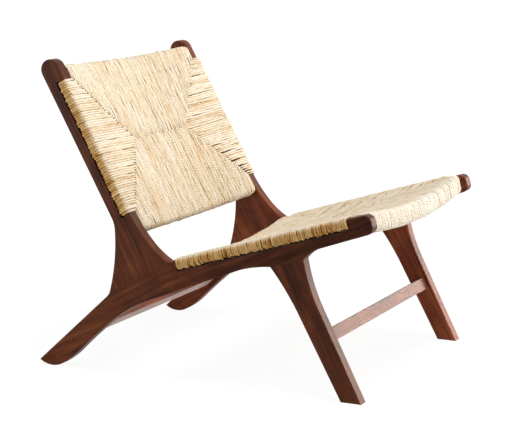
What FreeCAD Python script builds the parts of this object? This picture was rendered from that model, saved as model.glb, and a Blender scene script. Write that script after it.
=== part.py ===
import FreeCAD
import Part
import Sketcher
import math
import os

# Low lounge chair without arms. Two plank side frames stand the seat and the back up,
# four dished rails and two stretchers hold the frames apart, and the seat and the back
# are wound with cord over the rails and over slim cores beside long slots in the planks.
#
# Millimetres and degrees. X runs across the chair, Y to the rear, Z up. The origin is on
# the floor, midway between the side frames.

SIZES = {
    # Overall
    "chair_width": 650.0,
    "chair_height": 712.0,
    # Planks
    "plank_thickness": 30.0,
    "edge_bevel": 2.0,
    "rail_bevel": 4.0,
    # Back post, measured along and across its own board from the middle line of its foot
    "post_lean": 29.0,
    "post_foot_y": 145.3,
    "post_foot_z": 230.95,
    "post_foot_front": 82.7,
    "post_foot_back": 92.0,
    "post_width": 48.0,
    "post_back_flare_radius": 440.0,
    "post_back_knuckle_out": 5.5,
    "post_back_knuckle_rise": 122.5,
    "post_back_knuckle_radius": 58.0,
    "post_back_straight_rise": 147.2,
    "post_front_straight_rise": 140.0,
    "post_front_flare_radius": 363.0,
    "post_front_knuckle_out": 9.5,
    "post_front_knuckle_rise": 62.0,
    "post_toe_flare_radius": 185.0,
    # Seat rail, measured forward along its top line from the crease and down from it
    "seat_slope": 16.9,
    "nose_ahead": 19.0,
    "nose_depth": 43.0,
    "nose_top_radius": 17.0,
    "nose_bottom_radius": 17.0,
    "rail_depth": 47.4,
    "rail_depth_reach": 372.0,
    "pad_depth": 62.0,
    "pad_front_reach": 325.3,
    "pad_back_reach": 243.0,
    "pad_front_radius": 84.0,
    "pad_back_radius": 287.0,
    "belly_reach": 170.0,
    "belly_depth": 53.2,
    "haunch_reach": 50.0,
    "haunch_depth": 71.0,
    # Rear leg, which grows out of the seat rail in one sweep
    "thigh_y": 202.1,
    "thigh_z": 136.3,
    "thigh_radius": 400.0,
    "ankle_y": 303.0,
    "ankle_z": 47.8,
    "ankle_radius": 1100.0,
    "instep_radius": 230.0,
    "sole_y": 381.2,
    "sole_radius": 57.0,
    "sole_front_reach": 31.0,
    "heel_reach": 33.5,
    "shoulder_y": 238.1,
    "shoulder_z": 172.6,
    "shoulder_radius": 58.0,
    # Front leg, with the rake of its two edges off the vertical
    "toe_reach": 393.0,
    "foot_length": 47.5,
    "leg_front_rake": 26.84,
    "leg_back_rake": 28.7,
    "shin_rise": 195.0,
    "shin_radius": 400.0,
    "calf_rise": 180.0,
    "calf_radius": 640.0,
    # Slots that leave a slim core for the cord to go round
    "core_width": 16.0,
    "slot_width": 8.5,
    "back_slot_past_bottom_rail": 7.0,
    "seat_slot_past_rear_rail": 2.5,
    "seat_slot_short_of_front_rail": 2.5,
    # Dished rails that hold the side frames apart
    "panel_dish": 20.0,
    "back_rail_height": 22.0,
    "back_bottom_rail_rise": 96.0,
    "back_bottom_rail_width": 36.0,
    "back_top_rail_width": 33.0,
    "post_past_top_rail": 3.6,
    "seat_front_rail_reach": 449.0,
    "seat_front_rail_width": 33.0,
    "seat_front_rail_height": 34.8,
    "seat_rear_rail_back": 3.5,
    "seat_rear_rail_width": 22.0,
    "seat_rear_rail_height": 30.0,
    # Stretchers between the legs
    "stretcher_thickness": 22.0,
    "front_stretcher_rise": 146.7,
    "front_stretcher_height": 28.1,
    "front_stretcher_recess": 10.0,
    "rear_stretcher_reach": 70.8,
    "rear_stretcher_height": 34.0,
    "rear_stretcher_depth": 12.4,
    # Tenons and dowels
    "tenon_length": 20.0,
    "tenon_shoulder": 5.0,
    "tenon_fit": 0.2,
    "dowel_diameter": 10.0,
    "dowel_length": 60.0,
    "dowel_fit": 0.1,
    "post_dowel_spread": 45.0,
    "leg_dowel_spread": 18.0,
    # Wound cord
    "cord_layer": 4.5,
    "wrap_fit": 0.3,
    "roll_round": 9.0,
    "wrap_round": 4.0,
    "roll_taper": 34.0,
    # How far a cutting tool runs past the wood
    "overrun": 1.0,
}


def on_post(across, along):
    """Sheet formulas of a point on the post: across to the rear and along from the foot."""
    y = f"Sizes.post_foot_y + ({across}) * cos(Sizes.post_lean) + ({along}) * sin(Sizes.post_lean)"
    z = f"Sizes.post_foot_z - ({across}) * sin(Sizes.post_lean) + ({along}) * cos(Sizes.post_lean)"
    return y, z


def on_rail(along, under):
    """Sheet formulas of a point on the seat rail: forward from the crease and down."""
    y = f"crease_y - ({along}) * cos(Sizes.seat_slope) - ({under}) * sin(Sizes.seat_slope)"
    z = f"crease_z + ({along}) * sin(Sizes.seat_slope) - ({under}) * cos(Sizes.seat_slope)"
    return y, z


def on_sole(reach):
    """Sheet formula of the height of the round sole at a reach from where it stands."""
    return f"Sizes.sole_radius - sqrt(Sizes.sole_radius ^ 2 - ({reach}) ^ 2)"


# Corners of the outlines, as formulas that the second sheet works out. The post is drawn
# on its own board, so its corners are plain sizes.
CORNERS = {
    "post_heel": ("Sizes.post_foot_back", "0"),
    "post_back_knuckle": ("Sizes.post_back_knuckle_out", "Sizes.post_back_knuckle_rise"),
    "post_back_straight": ("0", "Sizes.post_back_straight_rise"),
    "post_back_end": ("0", "post_length"),
    "post_tip": ("-Sizes.post_width / 2", "post_length + Sizes.post_width / 2"),
    "post_front_end": ("-Sizes.post_width", "post_length"),
    "post_front_straight": ("-Sizes.post_width", "Sizes.post_front_straight_rise"),
    "post_front_knuckle": (
        "-Sizes.post_width - Sizes.post_front_knuckle_out",
        "Sizes.post_front_knuckle_rise",
    ),
    "post_toe": ("-Sizes.post_foot_front", "0"),
    "post_slot_back_low": ("Sizes.core_width + Sizes.slot_width - Sizes.post_width",
                           "back_wrap_start"),
    "post_slot_back_high": ("Sizes.core_width + Sizes.slot_width - Sizes.post_width",
                            "back_wrap_end"),
    "post_slot_top": ("Sizes.core_width + Sizes.slot_width / 2 - Sizes.post_width",
                      "back_wrap_end + Sizes.slot_width / 2"),
    "post_slot_front_high": ("Sizes.core_width - Sizes.post_width", "back_wrap_end"),
    "post_slot_front_low": ("Sizes.core_width - Sizes.post_width", "back_wrap_start"),
    "post_slot_bottom": ("Sizes.core_width + Sizes.slot_width / 2 - Sizes.post_width",
                         "back_wrap_start - Sizes.slot_width / 2"),
    "crease": on_post("-Sizes.post_foot_front", "0"),
    "joint_back": on_post("Sizes.post_foot_back", "0"),
    "shoulder": ("Sizes.shoulder_y", "Sizes.shoulder_z"),
    "heel": ("Sizes.sole_y + Sizes.heel_reach", on_sole("Sizes.heel_reach")),
    "sole": ("Sizes.sole_y", "0"),
    "instep": ("Sizes.sole_y - Sizes.sole_front_reach", on_sole("Sizes.sole_front_reach")),
    "ankle": ("Sizes.ankle_y", "Sizes.ankle_z"),
    "thigh": ("Sizes.thigh_y", "Sizes.thigh_z"),
    "haunch": on_rail("-Sizes.haunch_reach", "Sizes.haunch_depth"),
    "belly": on_rail("Sizes.belly_reach", "Sizes.belly_depth"),
    "pad_back": on_rail("Sizes.pad_back_reach", "Sizes.pad_depth"),
    "pad_front": on_rail("Sizes.pad_front_reach", "Sizes.pad_depth"),
    "rail_under": on_rail("Sizes.rail_depth_reach", "Sizes.rail_depth"),
    "nose_under": on_rail("rail_length - Sizes.nose_bottom_radius", "Sizes.nose_depth"),
    "nose_low": on_rail("rail_length", "Sizes.nose_depth - Sizes.nose_bottom_radius"),
    "nose_high": on_rail("rail_length", "Sizes.nose_top_radius"),
    "nose_top": on_rail("rail_length - Sizes.nose_top_radius", "0"),
    "rail_slot_back_high": on_rail("-seat_wrap_end", "Sizes.core_width"),
    "rail_slot_back": on_rail("-seat_wrap_end - Sizes.slot_width / 2",
                              "Sizes.core_width + Sizes.slot_width / 2"),
    "rail_slot_back_low": on_rail("-seat_wrap_end", "Sizes.core_width + Sizes.slot_width"),
    "rail_slot_front_low": on_rail("-seat_wrap_start", "Sizes.core_width + Sizes.slot_width"),
    "rail_slot_front": on_rail("-seat_wrap_start + Sizes.slot_width / 2",
                               "Sizes.core_width + Sizes.slot_width / 2"),
    "rail_slot_front_high": on_rail("-seat_wrap_start", "Sizes.core_width"),
    "toe": ("-Sizes.toe_reach", "0"),
    "foot_back": ("-Sizes.toe_reach + Sizes.foot_length", "0"),
    "calf": ("foot_back_y + Sizes.calf_rise * tan(Sizes.leg_back_rake)", "Sizes.calf_rise"),
    "shin": ("toe_y + Sizes.shin_rise * tan(Sizes.leg_front_rake)", "Sizes.shin_rise"),
    "back_panel": on_post("-Sizes.post_width", "0"),
    "wrap_root_top": ("panel_half", "wound"),
    "wrap_top": ("wrap_outer - Sizes.wrap_round", "wound"),
    "wrap_side_top": ("wrap_outer", "wound - Sizes.wrap_round"),
    "wrap_side_under": ("wrap_outer", "core_under - wound + Sizes.wrap_round"),
    "wrap_under": ("wrap_outer - Sizes.wrap_round", "core_under - wound"),
    "wrap_root_under": ("panel_half", "core_under - wound"),
}

# Other places that several pieces share
PLACES = {
    "post_length": "(Sizes.chair_height - Sizes.post_foot_z "
                   "- Sizes.post_width / 2 * (1 + sin(Sizes.post_lean))) / cos(Sizes.post_lean)",
    "rail_length": "Sizes.seat_front_rail_reach + Sizes.seat_front_rail_width + Sizes.nose_ahead",
    "frame_middle": "(Sizes.chair_width - Sizes.plank_thickness) / 2",
    "inner_half": "Sizes.chair_width / 2 - Sizes.plank_thickness",
    "panel_half": "inner_half - Sizes.wrap_fit",
    "dish_radius": "(inner_half ^ 2 + Sizes.panel_dish ^ 2) / (2 * Sizes.panel_dish)",
    "dish_axis": "dish_radius - Sizes.panel_dish",
    "dish_sweep": "2 * asin((panel_half + Sizes.overrun) / (dish_radius - wound))",
    "wound": "Sizes.wrap_fit + Sizes.cord_layer",
    "wrap_outer": "Sizes.chair_width / 2 + wound",
    "core_under": "-Sizes.core_width",
    "rear_leg_slope": "atan((shoulder_z - heel_z) / (heel_y - shoulder_y))",
    "back_low_start": "Sizes.back_bottom_rail_rise",
    "back_low_end": "Sizes.back_bottom_rail_rise + Sizes.back_bottom_rail_width",
    "back_low_height": "Sizes.back_rail_height",
    "back_high_start": "back_high_end - Sizes.back_top_rail_width",
    "back_high_end": "post_length - Sizes.post_past_top_rail",
    "back_high_height": "Sizes.back_rail_height",
    "back_wrap_start": "back_low_end + Sizes.back_slot_past_bottom_rail",
    "back_wrap_end": "back_high_start",
    "seat_low_start": "-Sizes.seat_front_rail_reach - Sizes.seat_front_rail_width",
    "seat_low_end": "-Sizes.seat_front_rail_reach",
    "seat_low_height": "Sizes.seat_front_rail_height",
    "seat_high_start": "Sizes.seat_rear_rail_back - Sizes.seat_rear_rail_width",
    "seat_high_end": "Sizes.seat_rear_rail_back",
    "seat_high_height": "Sizes.seat_rear_rail_height",
    "seat_wrap_start": "seat_low_end + Sizes.seat_slot_short_of_front_rail",
    "seat_wrap_end": "seat_high_start - Sizes.seat_slot_past_rear_rail",
}


def add_roll_section(panel):
    """Corners of a wound panel's section: a roll round each rail and the web between.

    Heights are measured from the axis that the dished panel is turned about."""
    start, low_end = f"{panel}_low_start - wound", f"{panel}_low_end + wound"
    high_start, end = f"{panel}_high_start - wound", f"{panel}_high_end + wound"
    top = "wound - dish_radius"
    low_under = f"-{panel}_low_height - wound - dish_radius"
    high_under = f"-{panel}_high_height - wound - dish_radius"
    web_under = "core_under - wound - dish_radius"
    corners = {
        "low_face_top": (start, f"{top} - Sizes.roll_round"),
        "low_top": (f"{start} + Sizes.roll_round", top),
        "high_top": (f"{end} - Sizes.roll_round", top),
        "high_face_top": (end, f"{top} - Sizes.roll_round"),
        "high_face_under": (end, f"{high_under} + Sizes.roll_round"),
        "high_under": (f"{end} - Sizes.roll_round", high_under),
        "high_inner": (high_start, high_under),
        "web_high": (f"{high_start} - Sizes.roll_taper", web_under),
        "web_low": (f"{low_end} + Sizes.roll_taper", web_under),
        "low_inner": (low_end, low_under),
        "low_under": (f"{start} + Sizes.roll_round", low_under),
        "low_face_under": (start, f"{low_under} + Sizes.roll_round"),
    }
    for name, pair in corners.items():
        CORNERS[f"{panel}_{name}"] = pair


add_roll_section("back")
add_roll_section("seat")

doc = FreeCAD.newDocument("LoungeChair")
sizes = doc.addObject("Spreadsheet::Sheet", "Sizes")
places = doc.addObject("Spreadsheet::Sheet", "Places")


def fill_sheet(sheet, rows):
    """Write one named cell for each row."""
    for number, (name, text) in enumerate(rows.items(), 1):
        sheet.set(f"A{number}", name)
        sheet.set(f"B{number}", text)
        sheet.setAlias(f"B{number}", name)


fill_sheet(sizes, {name: str(value) for name, value in SIZES.items()})
FORMULAS = dict(PLACES)
for name, (y, z) in CORNERS.items():
    FORMULAS[name + "_y"] = y
    FORMULAS[name + "_z"] = z
fill_sheet(places, {name: "=" + text for name, text in FORMULAS.items()})
doc.recompute()


def place(name):
    """Number in a named cell of the second sheet."""
    return float(places.getPropertyByName(name))


def origin_plane(body, role):
    """One of a body's own three planes."""
    for feature in body.Origin.OriginFeatures:
        if feature.Role == role:
            return feature
    raise ValueError(role)


def add_sketch(body, name, role, offset=None):
    """Empty sketch on one of the body's planes, moved off it by a formula."""
    sketch = body.newObject("Sketcher::SketchObject", name)
    sketch.AttachmentSupport = (origin_plane(body, role), [""])
    sketch.MapMode = "FlatFace"
    if offset:
        sketch.setExpression(".AttachmentOffset.Base.z", offset)
    return sketch


def pin(sketch, kind, geometry, point, value, formula):
    """Hold one coordinate of a vertex, or a radius, to a formula."""
    if point is None:
        index = sketch.addConstraint(Sketcher.Constraint(kind, geometry, value))
    else:
        index = sketch.addConstraint(Sketcher.Constraint(kind, geometry, point, value))
    sketch.setExpression(f"Constraints[{index}]", formula)


def round_stretch(start, end, radius, bulge):
    """Arc from start to end that bulges to the left or the right, and whether it runs backward."""
    chord = end - start
    left = FreeCAD.Vector(-chord.y, chord.x, 0).normalize()
    rise = math.sqrt(max(radius ** 2 - (chord.Length / 2) ** 2, 0))
    side = 1 if bulge == "left" else -1
    center = (start + end) / 2 - left * (rise * side)
    angles = [math.atan2(tip.y - center.y, tip.x - center.x) for tip in (start, end)]
    backward = bulge == "left"
    if backward:
        angles.reverse()
    circle = Part.Circle(center, FreeCAD.Vector(0, 0, 1), radius)
    return Part.ArcOfCircle(circle, angles[0], angles[1]), backward


def draw_outline(sketch, rows):
    """Closed outline. A row is a corner, then the radius and the bulge of a round stretch after it."""
    points = [FreeCAD.Vector(place(row[0] + "_y"), place(row[0] + "_z"), 0) for row in rows]
    ends = []
    for number, row in enumerate(rows):
        start, end = points[number], points[(number + 1) % len(rows)]
        if len(row) == 1:
            sketch.addGeometry(Part.LineSegment(start, end))
            ends.append((1, 2))
        else:
            radius = radius_value(row[1])
            arc, backward = round_stretch(start, end, radius, row[2])
            sketch.addGeometry(arc)
            ends.append((2, 1) if backward else (1, 2))
    for number, row in enumerate(rows):
        follower = (number + 1) % len(rows)
        sketch.addConstraint(Sketcher.Constraint(
            "Coincident", number, ends[number][1], follower, ends[follower][0]))
    for number, row in enumerate(rows):
        first = ends[number][0]
        pin(sketch, "DistanceX", number, first, points[number].x, f"Places.{row[0]}_y")
        pin(sketch, "DistanceY", number, first, points[number].y, f"Places.{row[0]}_z")
        if len(row) > 1:
            pin(sketch, "Radius", number, None, radius_value(row[1]), row[1])
    return sketch


def radius_value(formula):
    """Number behind a radius such as Sizes.name or Sizes.name / 2."""
    name, *rest = formula.split(" / ")
    value = SIZES[name.replace("Sizes.", "")]
    return value / float(rest[0]) if rest else value


def pad(body, name, sketch, length, both_ways=True):
    """Grow a sketch into wood or cord."""
    feature = body.newObject("PartDesign::Pad", name)
    feature.Profile = sketch
    feature.Midplane = both_ways
    feature.setExpression("Length", length)
    doc.recompute()
    return feature


def cut_through(body, name, sketch, length, both_ways=True, reversed_way=False):
    """Cut a sketch out of the body, and make sure that it took something away."""
    doc.recompute()
    before = body.Shape.Volume
    feature = body.newObject("PartDesign::Pocket", name)
    feature.Profile = sketch
    feature.Midplane = both_ways
    feature.Reversed = reversed_way
    feature.setExpression("Length", length)
    doc.recompute()
    if not body.Shape.Volume < before:
        raise RuntimeError(f"{name} cuts nothing from {body.Label}")
    return feature


def turn(thing, angle):
    """Tilt a body or a primitive about X by a formula."""
    thing.Placement.Rotation = FreeCAD.Rotation(FreeCAD.Vector(1, 0, 0), 1)
    thing.setExpression(".Placement.Rotation.Angle", angle)


def move(thing, x, y, z):
    """Place a body or a primitive by formulas."""
    for axis, formula in (("x", x), ("y", y), ("z", z)):
        if formula is not None:
            thing.setExpression(f".Placement.Base.{axis}", formula)


def new_body(label):
    """Body whose label is the name of the piece."""
    body = doc.addObject("PartDesign::Body", label)
    body.Label = label
    return body


def ease_board(body, board, name, joints):
    """Bevel the long edges of a board, except where another board is glued on between two corners."""
    faces = SIZES["plank_thickness"] / 2
    spans = [[(place(corner + "_y"), place(corner + "_z")) for corner in pair] for pair in joints]
    names = []
    for number, edge in enumerate(board.Shape.Edges, 1):
        ends = [vertex.Point for vertex in edge.Vertexes]
        if any(abs(abs(end.x) - faces) > Part.Precision.confusion() for end in ends):
            continue
        if abs(ends[0].x - ends[1].x) > Part.Precision.confusion():
            continue
        if any(all(min(math.dist((end.y, end.z), corner) for end in ends) < Part.Precision.confusion()
                   for corner in span) for span in spans):
            continue
        names.append(f"Edge{number}")
    bevel = body.newObject("PartDesign::Chamfer", name)
    bevel.Base = (board, names)
    bevel.setExpression("Size", "Sizes.edge_bevel")
    doc.recompute()
    return bevel


def add_box(body, kind, name, size, corner, angle=None):
    """Box of wood, or a box hole, by the formulas of its three sizes and its low corner."""
    feature = body.newObject(kind, name)
    for side, formula in zip(("Length", "Width", "Height"), size):
        feature.setExpression(side, formula)
    if angle:
        turn(feature, angle)
    move(feature, *corner)
    return feature


def cut_mortise(body, name, side, along, height, corner, angle=None):
    """Box hole in the inner face of a plank. The corner is its low end on the drawing plane."""
    doc.recompute()
    before = body.Shape.Volume
    depth = "Sizes.tenon_length + Sizes.tenon_fit + Sizes.overrun"
    start = "-Sizes.plank_thickness / 2 - Sizes.overrun"
    if side < 0:
        start = f"Sizes.plank_thickness / 2 + Sizes.overrun - ({depth})"
    size = (depth, f"({along}) + 2 * Sizes.tenon_fit", f"({height}) + 2 * Sizes.tenon_fit")
    add_box(body, "PartDesign::SubtractiveBox", name, size, (start, corner[0], corner[1]), angle)
    doc.recompute()
    if not body.Shape.Volume < before:
        raise RuntimeError(f"{name} cuts nothing from {body.Label}")


def drill(body, name, corner, angle=None):
    """Dowel hole from the corner along the tilted Z axis of the drawing plane."""
    doc.recompute()
    before = body.Shape.Volume
    hole = body.newObject("PartDesign::SubtractiveCylinder", name)
    hole.setExpression("Radius", "Sizes.dowel_diameter / 2 + Sizes.dowel_fit")
    hole.setExpression("Height", "Sizes.dowel_length / 2 + Sizes.dowel_fit")
    if angle:
        turn(hole, angle)
    move(hole, None, corner[0], corner[1])
    doc.recompute()
    if not body.Shape.Volume < before:
        raise RuntimeError(f"{name} cuts nothing from {body.Label}")


SIDES = (("left", 1), ("right", -1))
TENON_SIDE = "Sizes.tenon_shoulder - Sizes.tenon_fit"
POST_MIDDLE = "(Sizes.post_foot_back - Sizes.post_foot_front) / 2"
PAD_MIDDLE = "(Sizes.pad_front_reach + Sizes.pad_back_reach) / 2"
POST_TURN = "-Sizes.post_lean"
RAIL_TURN = "-Sizes.seat_slope"


def shift_places(formula):
    """The same formula, as another object than the second sheet reads it."""
    return formula.replace("crease_", "Places.crease_")


# Back post: flared at its foot, round at its top, slotted so that a slim core stands in front
def make_post(side_name, side):
    body = new_body(f"back_post_{side_name}")
    outline = draw_outline(add_sketch(body, f"post_outline_{side_name}", "YZ_Plane"), (
        ("post_toe",),
        ("post_heel", "Sizes.post_back_flare_radius", "left"),
        ("post_back_knuckle", "Sizes.post_back_knuckle_radius", "left"),
        ("post_back_straight",),
        ("post_back_end", "Sizes.post_width / 2", "right"),
        ("post_tip", "Sizes.post_width / 2", "right"),
        ("post_front_end",),
        ("post_front_straight", "Sizes.post_front_flare_radius", "left"),
        ("post_front_knuckle", "Sizes.post_toe_flare_radius", "left"),
    ))
    board = pad(body, f"post_board_{side_name}", outline, "Sizes.plank_thickness")
    ease_board(body, board, f"post_edges_{side_name}", [("post_toe", "post_heel")])
    slot = draw_outline(add_sketch(body, f"post_slot_outline_{side_name}", "YZ_Plane"), (
        ("post_slot_back_low",),
        ("post_slot_back_high", "Sizes.slot_width / 2", "right"),
        ("post_slot_top", "Sizes.slot_width / 2", "right"),
        ("post_slot_front_high",),
        ("post_slot_front_low", "Sizes.slot_width / 2", "right"),
        ("post_slot_bottom", "Sizes.slot_width / 2", "right"),
    ))
    cut_through(body, f"post_slot_{side_name}", slot, "Sizes.plank_thickness + 2 * Sizes.overrun")
    for part in ("low", "high"):
        cut_mortise(
            body, f"post_mortise_{part}_{side_name}", side,
            f"Places.back_{part}_height - 2 * Sizes.tenon_shoulder",
            f"Places.back_{part}_end - Places.back_{part}_start - 2 * Sizes.tenon_shoulder",
            (f"-Sizes.post_width + {TENON_SIDE}", f"Places.back_{part}_start + {TENON_SIDE}"))
    for number, sign in enumerate(("-", "+")):
        drill(body, f"post_dowel_hole_{number}_{side_name}",
              (f"{POST_MIDDLE} {sign} Sizes.post_dowel_spread", "0"))
    turn(body, POST_TURN)
    move(body, f"{side} * Places.frame_middle", "Sizes.post_foot_y", "Sizes.post_foot_z")
    return body


# Seat rail and rear leg: one sweep of wood from the nose over the crease down to the heel
def make_rail_leg(side_name, side):
    body = new_body(f"seat_rail_rear_leg_{side_name}")
    outline = draw_outline(add_sketch(body, f"rail_leg_outline_{side_name}", "YZ_Plane"), (
        ("crease",),
        ("nose_top", "Sizes.nose_top_radius", "right"),
        ("nose_high",),
        ("nose_low", "Sizes.nose_bottom_radius", "right"),
        ("nose_under",),
        ("rail_under", "Sizes.pad_front_radius", "left"),
        ("pad_front",),
        ("pad_back", "Sizes.pad_back_radius", "left"),
        ("belly",),
        ("haunch", "Sizes.thigh_radius", "left"),
        ("thigh", "Sizes.ankle_radius", "left"),
        ("ankle", "Sizes.instep_radius", "right"),
        ("instep", "Sizes.sole_radius", "right"),
        ("sole", "Sizes.sole_radius", "right"),
        ("heel",),
        ("shoulder", "Sizes.shoulder_radius", "left"),
        ("joint_back",),
    ))
    board = pad(body, f"rail_leg_board_{side_name}", outline, "Sizes.plank_thickness")
    ease_board(body, board, f"rail_leg_edges_{side_name}",
                [("joint_back", "crease"), ("pad_front", "pad_back")])
    slot = draw_outline(add_sketch(body, f"rail_slot_outline_{side_name}", "YZ_Plane"), (
        ("rail_slot_back_low", "Sizes.slot_width / 2", "right"),
        ("rail_slot_back", "Sizes.slot_width / 2", "right"),
        ("rail_slot_back_high",),
        ("rail_slot_front_high", "Sizes.slot_width / 2", "right"),
        ("rail_slot_front", "Sizes.slot_width / 2", "right"),
        ("rail_slot_front_low",),
    ))
    cut_through(body, f"rail_slot_{side_name}", slot, "Sizes.plank_thickness + 2 * Sizes.overrun")
    for part in ("low", "high"):
        height = f"(Places.seat_{part}_height - 2 * Sizes.tenon_shoulder)"
        corner = on_rail(f"-Places.seat_{part}_start - ({TENON_SIDE})",
                         f"Sizes.tenon_shoulder + {height} + Sizes.tenon_fit")
        cut_mortise(
            body, f"rail_mortise_{part}_{side_name}", side,
            f"Places.seat_{part}_end - Places.seat_{part}_start - 2 * Sizes.tenon_shoulder",
            height, (shift_places(corner[0]), shift_places(corner[1])), RAIL_TURN)
    reach = "Places.rear_leg_slope"
    along = f"(Sizes.rear_stretcher_reach + {TENON_SIDE})"
    under = f"(Sizes.rear_stretcher_depth + Sizes.stretcher_thickness - ({TENON_SIDE}))"
    cut_mortise(
        body, f"rear_stretcher_mortise_{side_name}", side,
        "Sizes.rear_stretcher_height - 2 * Sizes.tenon_shoulder",
        "Sizes.stretcher_thickness - 2 * Sizes.tenon_shoulder",
        (f"Sizes.shoulder_y + {along} * cos({reach}) - {under} * sin({reach})",
         f"Sizes.shoulder_z - {along} * sin({reach}) - {under} * cos({reach})"), f"-{reach}")
    for number, sign in enumerate(("-", "+")):
        corner = on_post(f"{POST_MIDDLE} {sign} Sizes.post_dowel_spread",
                         "-Sizes.dowel_length / 2 - Sizes.dowel_fit")
        drill(body, f"rail_post_dowel_hole_{number}_{side_name}", corner, POST_TURN)
        corner = on_rail(f"{PAD_MIDDLE} {sign} Sizes.leg_dowel_spread", "Sizes.pad_depth")
        drill(body, f"rail_leg_dowel_hole_{number}_{side_name}",
              (shift_places(corner[0]), shift_places(corner[1])), RAIL_TURN)
    move(body, f"{side} * Places.frame_middle", None, None)
    return body


# Front leg: raked forward, tapered to its foot and spread where it meets the seat rail
def make_front_leg(side_name, side):
    body = new_body(f"front_leg_{side_name}")
    outline = draw_outline(add_sketch(body, f"front_leg_outline_{side_name}", "YZ_Plane"), (
        ("toe",),
        ("foot_back",),
        ("calf", "Sizes.calf_radius", "left"),
        ("pad_back",),
        ("pad_front", "Sizes.shin_radius", "left"),
        ("shin",),
    ))
    board = pad(body, f"front_leg_board_{side_name}", outline, "Sizes.plank_thickness")
    ease_board(body, board, f"front_leg_edges_{side_name}", [("pad_front", "pad_back")])
    rake = "Sizes.leg_front_rake"
    along = f"(Sizes.front_stretcher_rise + {TENON_SIDE})"
    inward = f"(Sizes.front_stretcher_recess + {TENON_SIDE})"
    cut_mortise(
        body, f"front_stretcher_mortise_{side_name}", side,
        "Sizes.stretcher_thickness - 2 * Sizes.tenon_shoulder",
        "Sizes.front_stretcher_height - 2 * Sizes.tenon_shoulder",
        (f"Places.toe_y + {along} * sin({rake}) + {inward} * cos({rake})",
         f"{along} * cos({rake}) - {inward} * sin({rake})"), f"-{rake}")
    for number, sign in enumerate(("-", "+")):
        corner = on_rail(f"{PAD_MIDDLE} {sign} Sizes.leg_dowel_spread",
                         "Sizes.pad_depth + Sizes.dowel_length / 2 + Sizes.dowel_fit")
        drill(body, f"leg_dowel_hole_{number}_{side_name}",
              (shift_places(corner[0]), shift_places(corner[1])), RAIL_TURN)
    move(body, f"{side} * Places.frame_middle", None, None)
    return body


def draw_dished_band(sketch, half, top, under):
    """Band between two equal arcs that sag towards the middle, in a sketch across the chair.

    Its half width, its top and its underside at the ends are given as formula and number."""
    radius = place("dish_radius")
    corners = {}
    for name, level in (("top", top), ("under", under)):
        corners[name] = [FreeCAD.Vector(end * half[1], level[1], 0) for end in (-1, 1)]
    for name in ("top", "under"):
        arc, _ = round_stretch(*corners[name], radius, "right")
        sketch.addGeometry(arc)
    for end in (0, 1):
        sketch.addGeometry(Part.LineSegment(corners["top"][end], corners["under"][end]))
    for line, point in ((2, 1), (3, 2)):
        for arc in (0, 1):
            sketch.addConstraint(Sketcher.Constraint("Coincident", line, arc + 1, arc, point))
    for arc, level in ((0, top), (1, under)):
        pin(sketch, "DistanceX", arc, 1, -half[1], f"-({half[0]})")
        pin(sketch, "DistanceX", arc, 2, half[1], half[0])
        pin(sketch, "DistanceY", arc, 1, level[1], level[0])
        pin(sketch, "DistanceY", arc, 2, level[1], level[0])
        pin(sketch, "Radius", arc, None, radius, "Places.dish_radius")


def lay_on_panel(body, panel):
    """Lay a body on the plane of the back or of the seat."""
    if panel == "back":
        turn(body, "90 - Sizes.post_lean")
        move(body, None, "Places.back_panel_y", "Places.back_panel_z")
    else:
        turn(body, RAIL_TURN)
        move(body, None, "Places.crease_y", "Places.crease_z")


# Dished rails of the back and the seat, with a tenon on each end
def make_panel_rail(label, panel, part):
    body = new_body(label)
    start, end, height = (f"Places.{panel}_{part}_{word}" for word in ("start", "end", "height"))
    band = add_sketch(body, f"{label}_outline", "XZ_Plane", f"-({start} + {end}) / 2")
    draw_dished_band(band, ("Places.inner_half", place("inner_half")), ("0", 0),
                     (f"-{height}", -place(f"{panel}_{part}_height")))
    board = pad(body, f"{label}_board", band, f"{end} - {start}")
    bevel = body.newObject("PartDesign::Chamfer", f"{label}_edges")
    long_side = place("inner_half")
    bevel.Base = (board, [
        f"Edge{number}" for number, edge in enumerate(board.Shape.Edges, 1)
        if edge.Length > long_side])
    bevel.setExpression("Size", "Sizes.rail_bevel")
    size = ("Sizes.tenon_length + Sizes.tenon_shoulder",
            f"{end} - {start} - 2 * Sizes.tenon_shoulder",
            f"{height} - 2 * Sizes.tenon_shoulder")
    for number, root in enumerate((
            "Places.inner_half - Sizes.tenon_shoulder",
            "-Places.inner_half - Sizes.tenon_length")):
        add_box(body, "PartDesign::AdditiveBox", f"{label}_tenon_{number}", size,
                (root, f"{start} + Sizes.tenon_shoulder", f"Sizes.tenon_shoulder - {height}"))
    lay_on_panel(body, panel)
    return body


# Straight stretchers between the legs, each tenoned into both side frames
def make_stretcher(label, wide, tall, corner, base, angle):
    body = new_body(label)
    shoulder = "Sizes.tenon_shoulder"
    add_box(body, "PartDesign::AdditiveBox", f"{label}_board",
            ("2 * Places.inner_half", wide, tall), ("-Places.inner_half", *corner))
    add_box(body, "PartDesign::AdditiveBox", f"{label}_tenons",
            ("2 * (Places.inner_half + Sizes.tenon_length)",
             f"{wide} - 2 * {shoulder}", f"{tall} - 2 * {shoulder}"),
            ("-Places.inner_half - Sizes.tenon_length",
             f"{corner[0]} + {shoulder}", f"{corner[1]} + {shoulder}"))
    turn(body, angle)
    move(body, None, *base)
    return body


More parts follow.
